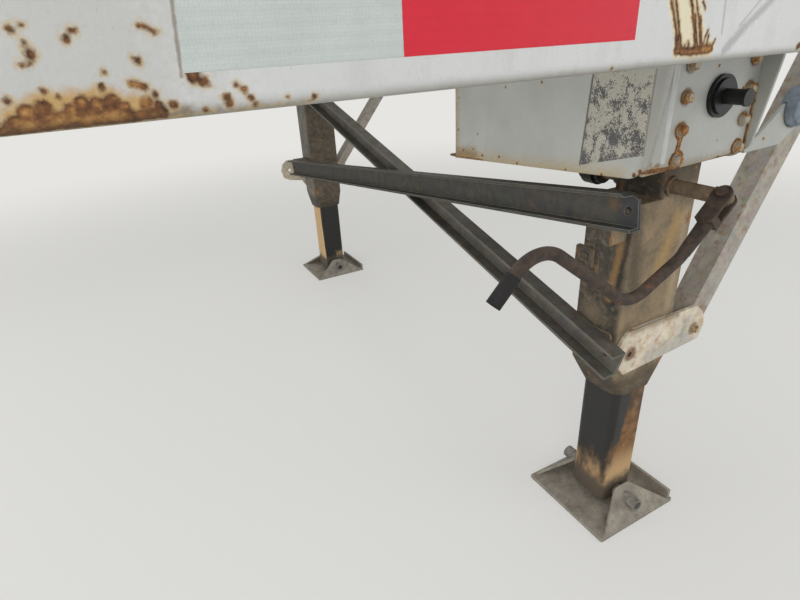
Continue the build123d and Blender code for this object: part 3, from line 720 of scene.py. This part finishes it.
def leg_finish(name, colours, out, front, pale, dark, forward):
    """Leg paint with its collar darkened by grease, for the near leg (out is -1) or the far
    one (1); front is the X of the leg's front."""
    inner, outer = out * (LEG_Y - LEG_HALF), out * (LEG_Y + LEG_HALF)
    low, lowest = height(392), height(366)
    washes = [([((front, outer, low), (front, inner, low), 0.016),
                ((front, outer, low), (0.08, outer, low), 0.010),
                ((-0.06, outer, lowest), (0.06, outer, lowest), 0.012),
                ((-0.06, inner, lowest), (0.06, inner, lowest), 0.012)], "#453c32", 0.034, 0.75)]
    if out < 0:
        # dark seam by the outboard corner and golden streaks beside it
        washes += washed(
            upright(x=front),
            ("#221f1c", 0.006, 0.9, (-998, 758, -981, 600, 3.5)),
            ("#9a7543", 0.012, 0.7, (-984, 742, -970, 610, 4)),
            ("#8a7c64", 0.040, 0.6, (-930, 560, -900, 500, 16)),
            ("#7e7059", 0.030, 0.6, (-940, 760, -900, 760, 10)),
        )
        # outboard face: painted shade forward and high up under the box; golden to the rear, partly
        # crust and rust and partly painted light
        washes += washed(
            upright(y=outer),
            ("#4a4135", 0.030, 0.75, (-88, 800, -60, 620, 8)),
            ("#463e34", 0.050, 0.75, (-20, 880, 60, 870, 30)),
            ("#b9975f", 0.030, 0.7, (43, 765, -4, 640, 6)),
            ("#b8a486", 0.022, 0.6, (66, 776, 60, 560, 4)),
        )
    return old_steel(name, colours, pale, dark, "#a8977b", rust_share=0.26, forward=forward,
                     rust_shift=0.02, washes=washes)


FINISH = {}

# words in a node's name and the finish they ask for; the last that fits holds
WANTED = {
    "side_rail": "rail", "crossmember": "enamel", "mount_box": "box", "bolt_plate": "box",
    "rear_gusset": "box", "brace_hanger": "enamel", "brace_channel": "channel",
    "brace_angle": "angle", "drag_brace": "drag", "brace_bracket": "bracket",
    "upper_leg": "leg", "far_upper_leg": "far_leg", "lower_leg": "tube",
    "far_lower_leg": "far_tube", "foot": "foot", "foot_pin": "foot_pin", "crank": "crank",
    "crank_shaft": "shaft", "crank_grip": "grip", "cross_shaft": "shaft",
    "coupling": "black", "shaft_cap": "black", "flanged_stub": "black",
}


class GEAR_OT_finishes(bpy.types.Operator):
    """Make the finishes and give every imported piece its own"""

    bl_idname = "gear.finishes"
    bl_label = "Finishes"

    def execute(self, context):
        colours = context.scene.gear_colours
        FINISH.update({
            "rail": enamel("rail_enamel", colours, *rail_marks(), low_edge=RAIL_BOTTOM,
                           rust_level=0.80, edge_rust=0.03, tint="#cfd0cf"),
            "enamel": enamel("frame_enamel", colours, rust_level=0.71),
            # the box's paint is darker than the rail's: painted shade under the rail
            "box": enamel("box_enamel", colours, *box_marks(), rust_level=0.80,
                          edge_rust=0.10, tint="#a2a39d", pale="#c0c1bb"),
            "channel": channel_finish(colours),
            "angle": galvanised("dull_zinc", colours, "#504d47", "#736f67", 0.45, "#6b563c",
                                edge_highlight_colour="#aaa69b"),
            "drag": galvanised("weathered_zinc", colours, colours.zinc, "#bfb7ab", 0.55,
                               "#8d6a45"),
            "bracket": bracket_finish(colours),
            # the near leg's forward faces are dark: painted shade with some road dirt
            "leg": leg_finish("weathered_leg_paint", colours, -1, -0.097, colours.leg_paint,
                              "#6c604d", ("#332f2a", "#4f483d")),
            # the far leg's paint is darker all over, painted shade, and its forward faces light grey,
            # painted sunlight
            "far_leg": leg_finish("far_leg_paint_with_painted_light_and_shade", colours, 1, -0.074, "#6a5f50",
                                  "#4c443a", ("#5f5d58", "#827f76")),
            "crank": old_steel("rusty_crank_steel", colours, "#54453a", "#2e2621", None,
                               0.02, 0.30, rust_shift=0.14),
            "shaft": old_steel("worn_shaft_steel", colours, "#87745e", "#57483a", None,
                               0.02, 0.25, rust_shift=0.12),
            "grip": old_steel("dark_grip_steel", colours, "#201b1c", "#110f10", None, 0.03,
                              0.05, rust_shift=0.12),
            "foot": old_steel("scuffed_foot_steel", colours, "#aba294", "#7c766c", "#bfb29e",
                              0.035, 0.10, worn_edge="#bdb8ac"),
            "foot_pin": old_steel("worn_pin_steel", colours, "#98938a", "#6a6762", "#b3aa9b",
                                  0.02, 0.12),
            "tube": greased_tube("greased_tube", colours, 0.22, 0.10, 225),
            # far leg: bare golden front and a bright band up to 460 mm, partly painted sunlight; black
            # sides, partly painted shade
            "far_tube": greased_tube("half_greased_tube_with_painted_light_and_shade", colours, -1.7, 0.9, 460),
            "black": black_rubbered("black_satin"),
            "bolt": enamel("painted_bolt_heads", colours, rust_level=0.52, edge_rust=0.08,
                           tint="#8f887b", pale="#b4afa4"),
            "weld": enamel("painted_welds", colours, rust_level=0.74, edge_rust=0.0,
                           tint="#b3b4af"),
            "zinc_weld": galvanised("galvanised_weld", colours, "#8b8376", "#aaa090", 0.8,
                                    "#a8743f"),
        })
        for name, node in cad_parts.items():
            chosen = [finish for word, finish in WANTED.items() if word in name]
            node.data.materials.clear()
            node.data.materials.append(FINISH[chosen[-1]])
        return {"FINISHED"}


class GEAR_OT_tape(bpy.types.Operator):
    """Lay the white and the red reflective tape on the near rail"""

    bl_idname = "gear.tape"
    bl_label = "Reflective tape"

    def execute(self, context):
        sizes, colours = context.scene.gear_sizes, context.scene.gear_colours
        start = sizes.tape_start
        middle = RAIL_BOTTOM + sizes.tape_rise + sizes.tape_width / 2
        thickness, sunk, joint = 0.0006, 0.0001, 0.0006
        for name, length, hex_colour, net_depth, slant in (
            ("white_tape", sizes.tape_white, colours.tape_white, 0.10, 0.005),
            ("red_tape", sizes.tape_red, colours.tape_red, 0.05, 0.0),
        ):
            place = (start + length / 2, RAIL_FACE + sunk - thickness / 2, middle)
            tape = begin(bpy.ops.mesh.primitive_cube_add, size=1, location=place,
                         scale=(length - joint, thickness, sizes.tape_width))
            # the front end is cut a little aslant
            mesh = bmesh.from_edit_mesh(tape.data)
            for vertex in mesh.verts:
                if vertex.co.x < place[0] and vertex.co.z > middle:
                    vertex.co.x += slant
            bmesh.update_edit_mesh(tape.data)
            select_faces(tape, lambda normal: normal.y < -0.5)
            bpy.ops.mesh.bevel(offset=0.0002, segments=1)
            settle(tape, name, "frame", reflective_film(name, hex_colour, net_depth))
            start += length
        return {"FINISHED"}


class GEAR_OT_label(bpy.types.Operator):
    """Stick the blank, weathered label on the front of the near box"""

    bl_idname = "gear.label"
    bl_label = "Worn label"

    def execute(self, context):
        gap, thickness = 0.0001, 0.0005
        face = upright(x=NEAR_BOX[0][0] - gap - thickness)
        # outline on the box's front, clockwise from the lower inboard corner
        corners = ((-908, 884), (-920, 1046), (-1043, 1055), (-1041, 921))
        label = begin(bpy.ops.mesh.primitive_plane_add, size=1)
        mesh = bmesh.from_edit_mesh(label.data)
        around = sorted(mesh.verts, key=lambda vertex: math.atan2(vertex.co.y, vertex.co.x))
        for vertex, corner in zip(around, corners):
            vertex.co = face(*corner)
        bmesh.update_edit_mesh(label.data)
        extrude(x=thickness)
        bpy.ops.mesh.select_all(action="SELECT")
        bpy.ops.mesh.normals_make_consistent(inside=False)
        settle(label, "worn_label", "frame", worn_label("weathered_label_film"))
        return {"FINISHED"}


def model_bolt(flats):
    """A hex bolt head on a washer, pointing along -Y from the origin."""
    radius = flats / math.sqrt(3)
    washer = begin(bpy.ops.mesh.primitive_cylinder_add, vertices=28, radius=radius * 1.18,
                   depth=0.003, location=(0, -0.0015, 0), rotation=ALONG_Y)
    select_faces(washer, lambda normal: abs(normal.y) > 0.9)
    bpy.ops.mesh.bevel(offset=0.0006, segments=2)
    head = begin(bpy.ops.mesh.primitive_cylinder_add, vertices=6, radius=radius, depth=0.007,
                 location=(0, -0.0065, 0), rotation=(ALONG_Y[0], math.radians(17), 0))
    select_faces(head, lambda normal: normal.y < -0.9)
    bpy.ops.mesh.inset(thickness=radius * 0.16)
    extrude(y=-0.0012)
    bevel_all(0.0005, 2)
    return join([head, washer])


def copies_at(pattern, places, turn):
    """Copies the pattern to each place, each copy with its own mesh; the pattern goes. All
    are turned about Z, and each a little further about its own axis than the one before."""
    made = []
    for number, place in enumerate(places):
        copy = pattern.copy()
        copy.data = pattern.data.copy()
        bpy.context.scene.collection.objects.link(copy)
        copy.matrix_world = (Matrix.Translation(Vector(place)) @ Matrix.Rotation(turn, 4, "Z")
                             @ Matrix.Rotation(number * 0.7, 4, "Y"))
        made.append(copy)
    bpy.data.objects.remove(pattern)
    return join(made)


class GEAR_OT_bolts(bpy.types.Operator):
    """Set the rusty bolts in the bolt plates and the brackets"""

    bl_idname = "gear.bolts"
    bl_label = "Bolts"

    def execute(self, context):
        flats = context.scene.gear_sizes.bolt_flats
        for side, out, rows, bracket_bolt in (
            ("near", -1, NEAR_BOLT_ROWS, (160, 477)),
            ("far", 1, (954, 988, 1022, 1056), (118, 546)),
        ):
            plate_bolts = [(x, h) for x in BOLT_COLUMNS for h in rows]
            for node, name, places, size in (
                ("bolt_plate", "flange_bolts", plate_bolts, flats),
                ("brace_bracket", "bracket_bolt", [bracket_bolt], flats * 0.9),
            ):
                face = upright(y=side_face(f"{side}_{node}", out))
                bolts = copies_at(model_bolt(size), [face(*place) for place in places],
                                  0.0 if out < 0 else math.pi)
                settle(bolts, f"{side}_{name}", "frame", FINISH["bolt"])
        return {"FINISHED"}


class GEAR_OT_tube_ends(bpy.types.Operator):
    """Put the round tube end on each wing plate"""

    bl_idname = "gear.tube_ends"
    bl_label = "Tube ends"

    def execute(self, context):
        metal = old_steel("blue_grey_tube", context.scene.gear_colours, "#8d98a2", "#68737e",
                          None, 0.02, 0.05)
        for side, out in (("near", -1), ("far", 1)):
            face = upright(y=side_face(f"{side}_rear_gusset", out))
            tube = begin(bpy.ops.mesh.primitive_cylinder_add, vertices=48, radius=0.038,
                         depth=0.022, location=face(*TUBE_END), rotation=ALONG_Y)
            select_faces(tube, lambda normal: normal.y * out > 0.9)
            bpy.ops.mesh.inset(thickness=0.005)
            extrude(y=out * 0.006)
            bpy.ops.mesh.inset(thickness=0.010)
            extrude(y=-out * 0.003)
            bevel_all(0.0008, 2)
            settle(tube, f"{side}_tube_end", "frame", metal)
        return {"FINISHED"}


class GEAR_OT_boss(bpy.types.Operator):
    """Put the raised boss on the front of the near upper leg"""

    bl_idname = "gear.boss"
    bl_label = "Leg boss"

    def execute(self, context):
        boss = begin(bpy.ops.mesh.primitive_cube_add, size=1,
                     location=(-0.098, -0.897, height(683)), scale=(0.014, 0.048, 0.042))
        select_faces(boss, lambda normal: normal.x < -0.9)
        bpy.ops.mesh.inset(thickness=0.012)
        extrude(x=0.004)
        bevel_all(0.004, 3)
        settle(boss, "near_leg_boss", "frame", FINISH["leg"])
        return {"FINISHED"}


def weld_bead(name, start, end, radius, material):
    """A row of overlapping weld ripples from start to end, on the frame."""
    run = Vector(end) - Vector(start)
    pitch = radius * 0.9
    bead = begin(bpy.ops.mesh.primitive_ico_sphere_add, subdivisions=2, radius=radius,
                 location=(0, 0, 0), scale=(0.75, 1, 1))
    only(bead)
    row = bead.modifiers.new("row", "ARRAY")
    row.count = max(2, int(run.length / pitch) + 1)
    row.use_relative_offset = False
    row.use_constant_offset = True
    row.constant_offset_displace = (pitch, 0, 0)
    bpy.ops.object.modifier_apply(modifier="row")
    bead.rotation_euler = run.to_track_quat("X", "Z").to_euler()
    bead.location = start
    settle(bead, name, "frame", material)


class GEAR_OT_welds(bpy.types.Operator):
    """Run the weld beads along the brackets, the box and the hangers, and add the box's lip"""

    bl_idname = "gear.welds"
    bl_label = "Welds"

    def execute(self, context):
        for side, out in (("near", -1), ("far", 1)):
            face = out * (LEG_Y + LEG_HALF + 0.0005)
            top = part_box(f"{side}_brace_bracket")[1][2] + 0.0005
            weld_bead(f"{side}_bracket_weld", (-0.048, face, top), (0.052, face, top),
                      0.0048, FINISH["zinc_weld"])
            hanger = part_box(f"{side}_brace_hanger")
            inner = side_face(f"{side}_brace_hanger", -out)
            top = hanger[1][2] - 0.001
            weld_bead(f"{side}_hanger_weld", (hanger[0][0] + 0.006, inner, top),
                      (hanger[1][0] - 0.006, inner, top), 0.004, FINISH["weld"])
        # bottom lip that stands out at the near box's inboard front corner
        lip = begin(bpy.ops.mesh.primitive_cube_add, size=1,
                    location=(NEAR_BOX[0][0] + 0.030, NEAR_BOX[1][1] + 0.010, height(838)),
                    scale=(0.060, 0.026, 0.005))
        bevel_all(0.0012, 2)
        settle(lip, "near_box_lip", "frame", FINISH["shaft"])
        corner = (NEAR_BOX[0][0] + 0.001, NEAR_BOX[0][1] + 0.002)
        weld_bead("near_box_weld", (*corner, height(1168)), (*corner, height(915)), 0.004,
                  FINISH["weld"])
        return {"FINISHED"}


class GEAR_OT_stage(bpy.types.Operator):
    """Set up the pale floor, the soft studio light and the camera"""

    bl_idname = "gear.stage"
    bl_label = "Stage"

    def execute(self, context):
        sizes = context.scene.gear_sizes
        floor_colour = context.scene.gear_colours.floor
        only()
        bpy.ops.mesh.primitive_plane_add(size=60, location=(0, 0, GROUND - 0.0005))
        floor = bpy.context.object
        floor.name = "studio_floor"
        material, put = new_material("matt_floor")
        matt = put("BsdfPrincipled", {"Base Color": floor_colour, "Roughness": 0.9})
        # what the camera sees is lifted half way to the floor's own colour, far off all of it
        lift = put("Emission", {"Color": floor_colour})
        spot = put("NewGeometry").outputs["Position"]
        reach = put("VectorMath", {0: spot, 1: (0, 0, GROUND)}, operation="DISTANCE")
        plain = put("MapRange", {"Value": reach, "From Min": 1.8, "From Max": 5.0,
                                 "To Min": 0.5, "To Max": 1.0}, interpolation_type="SMOOTHSTEP")
        seen = put("LightPath").outputs["Is Camera Ray"]
        share = put("Math", {0: seen, 1: plain}, operation="MULTIPLY")
        put("OutputMaterial", {"Surface": put("MixShader", {0: share, 1: matt, 2: lift})})
        floor.data.materials.append(material)

        world = bpy.data.worlds.new("soft_studio")
        context.scene.world = world
        world.use_nodes = True
        world.node_tree.nodes.clear()
        put = partial(add_node, world.node_tree)
        dome = put("Background", {"Color": "#eceef0", "Strength": 0.5})
        backdrop = put("Background", {"Color": floor_colour, "Strength": 1.0})
        ray = put("LightPath").outputs
        seen = ray["Is Camera Ray"]
        for kind in ("Is Glossy Ray", "Is Transmission Ray"):
            seen = put("Math", {0: seen, 1: ray[kind]}, operation="MAXIMUM")
        put("OutputWorld", {"Surface": put("MixShader", {0: seen, 1: dome, 2: backdrop})})

        target = Vector((0.0, -LEG_Y, height(700)))
        for name, place, size, power in (
            ("key_light", (-2.4, -3.1, height(1900)), 1.8, 34.0),
            ("fill_light", (2.2, -3.2, height(1300)), 2.0, 22.0),
            ("front_light", (-3.2, 0.4, height(800)), 2.0, 22.0),
            ("top_light", (-0.4, -0.2, height(3400)), 2.6, 30.0),
        ):
            bpy.ops.object.light_add(type="AREA", location=place)
            lamp = bpy.context.object
            lamp.name = name
            lamp.data.shape = "SQUARE"
            lamp.data.size = size
            lamp.data.energy = power
            lamp.rotation_euler = (target - Vector(place)).to_track_quat("-Z", "Y").to_euler()

        # camera: forward and right from azimuth and tilt, then the roll about its own axis
        azimuth, tilt, roll = sizes.camera_azimuth, sizes.camera_tilt, sizes.camera_roll
        level = Vector((-math.sin(azimuth), math.cos(azimuth), 0))
        right = Vector((math.cos(azimuth), math.sin(azimuth), 0))
        forward = level * math.cos(tilt) - Vector((0, 0, 1)) * math.sin(tilt)
        up = level * math.sin(tilt) + Vector((0, 0, 1)) * math.cos(tilt)
        turned_right = right * math.cos(roll) + up * math.sin(roll)
        turned_up = up * math.cos(roll) - right * math.sin(roll)
        bpy.ops.object.camera_add(location=sizes.camera_place)
        camera = bpy.context.object
        camera.name = "photo_camera"
        axes = Matrix((turned_right, turned_up, -forward)).transposed()
        camera.rotation_euler = axes.to_euler()
        camera.data.sensor_width = SENSOR_WIDTH
        camera.data.lens = sizes.camera_focus / PICTURE_WIDTH * SENSOR_WIDTH
        camera.data.clip_start = 0.02
        context.scene.camera = camera
        context.scene.view_settings.view_transform = "Standard"
        return {"FINISHED"}


class GEAR_PT_panel(bpy.types.Panel):
    """Lists the steps that dress the landing gear"""

    bl_idname = "GEAR_PT_panel"
    bl_label = "Landing gear"
    bl_space_type = "VIEW_3D"
    bl_region_type = "UI"
    bl_category = "Landing gear"

    def draw(self, context):
        for step in STEPS:
            self.layout.operator(step.bl_idname)
        for group in (context.scene.gear_sizes, context.scene.gear_colours):
            for name in group.bl_rna.properties.keys():
                if name not in ("rna_type", "name"):
                    self.layout.prop(group, name)


STEPS = (GEAR_OT_stage, GEAR_OT_finishes, GEAR_OT_tape, GEAR_OT_label, GEAR_OT_bolts,
         GEAR_OT_tube_ends, GEAR_OT_boss, GEAR_OT_welds)
CLASSES = (GearSizes, GearColours) + STEPS + (GEAR_PT_panel,)


def register():
    for item in CLASSES:
        bpy.utils.register_class(item)
    bpy.types.Scene.gear_sizes = bpy.props.PointerProperty(type=GearSizes)
    bpy.types.Scene.gear_colours = bpy.props.PointerProperty(type=GearColours)


def unregister():
    del bpy.types.Scene.gear_colours
    del bpy.types.Scene.gear_sizes
    for item in reversed(CLASSES):
        bpy.utils.unregister_class(item)


def main():
    register()
    bpy.ops.gear.stage()
    bpy.ops.gear.finishes()
    bpy.ops.gear.tape()
    bpy.ops.gear.label()
    bpy.ops.gear.bolts()
    bpy.ops.gear.tube_ends()
    bpy.ops.gear.boss()
    bpy.ops.gear.welds()


if __name__ == "__main__":
    main()
